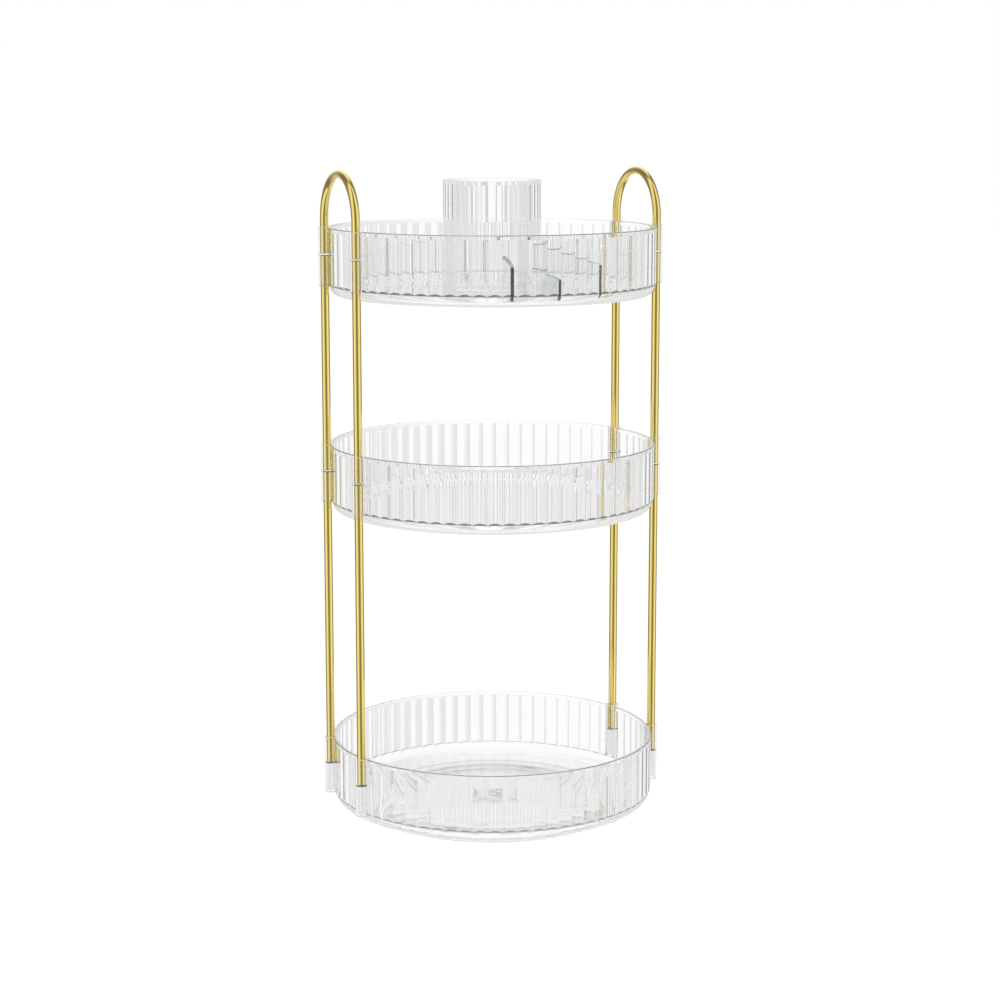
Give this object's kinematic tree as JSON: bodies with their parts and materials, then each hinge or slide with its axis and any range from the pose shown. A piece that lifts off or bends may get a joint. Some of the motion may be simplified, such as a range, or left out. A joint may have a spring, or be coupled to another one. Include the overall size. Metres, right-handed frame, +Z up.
{
  "type": "makeup organizer",
  "caption": "Tiered round makeup organizer: clear ribbed trays on gold poles with arch handles, a lift-out divider insert and brush cup, and a rotating base.",
  "frame": {"origin": "on the table, at the centre of the turntable base", "axes": "+Z up along the turning axis, front towards -Y, the two arch handles on the X axis"},
  "size_m": [0.2346, 0.2304, 0.4608],
  "materials": {
    "clear_plastic": "clear, polished, moulded",
    "clear_base": "clear with a grey cast, moulded",
    "gold_tube": "gold-coloured plating, polished",
    "white_plastic": "plain",
    "foot_rubber": "soft, matt",
    "plain_steel": "zinc plated"
  },
  "bodies": {
    "base": {"base_plate": "clear_base", "rubber_feet": "foot_rubber"},
    "cage": {"ball_cage": "white_plastic", "bearing_balls": "white_plastic"},
    "carousel": {"bottom_tray": "clear_plastic", "middle_tray": "clear_plastic", "top_tray": "clear_plastic", "left_handle": "gold_tube", "right_handle": "gold_tube", "pivot_washer": "plain_steel", "pivot_screw": "plain_steel", "lower_pole_front_left": "gold_tube", "lower_pole_front_right": "gold_tube", "lower_pole_rear_left": "gold_tube", "lower_pole_rear_right": "gold_tube", "upper_pole_front_left": "gold_tube", "upper_pole_front_right": "gold_tube", "upper_pole_rear_left": "gold_tube", "upper_pole_rear_right": "gold_tube"},
    "insert": {"divider_insert": "clear_plastic"},
    "cup": {"brush_cup": "clear_plastic"}
  },
  "joints": [
    {"name": "tray_spin", "type": "hinge", "parent": "base", "child": "carousel", "pos_m": [0, 0, 0.0085], "axis": [0, 0, 1], "continuous": true},
    {"name": "cage_spin", "type": "hinge", "parent": "base", "child": "cage", "pos_m": [0, 0, 0.0075], "axis": [0, 0, 1], "continuous": true},
    {"name": "insert_lift", "type": "slide", "parent": "carousel", "child": "insert", "axis": [0, 0, 1], "range_m": [0, 0.06]},
    {"name": "cup_lift", "type": "slide", "parent": "carousel", "child": "cup", "axis": [0, 0, 1], "range_m": [0, 0.09]}
  ],
  "couplings": [
    {"joint": "cage_spin", "follows": "tray_spin", "ratio": 0.5}
  ]
}
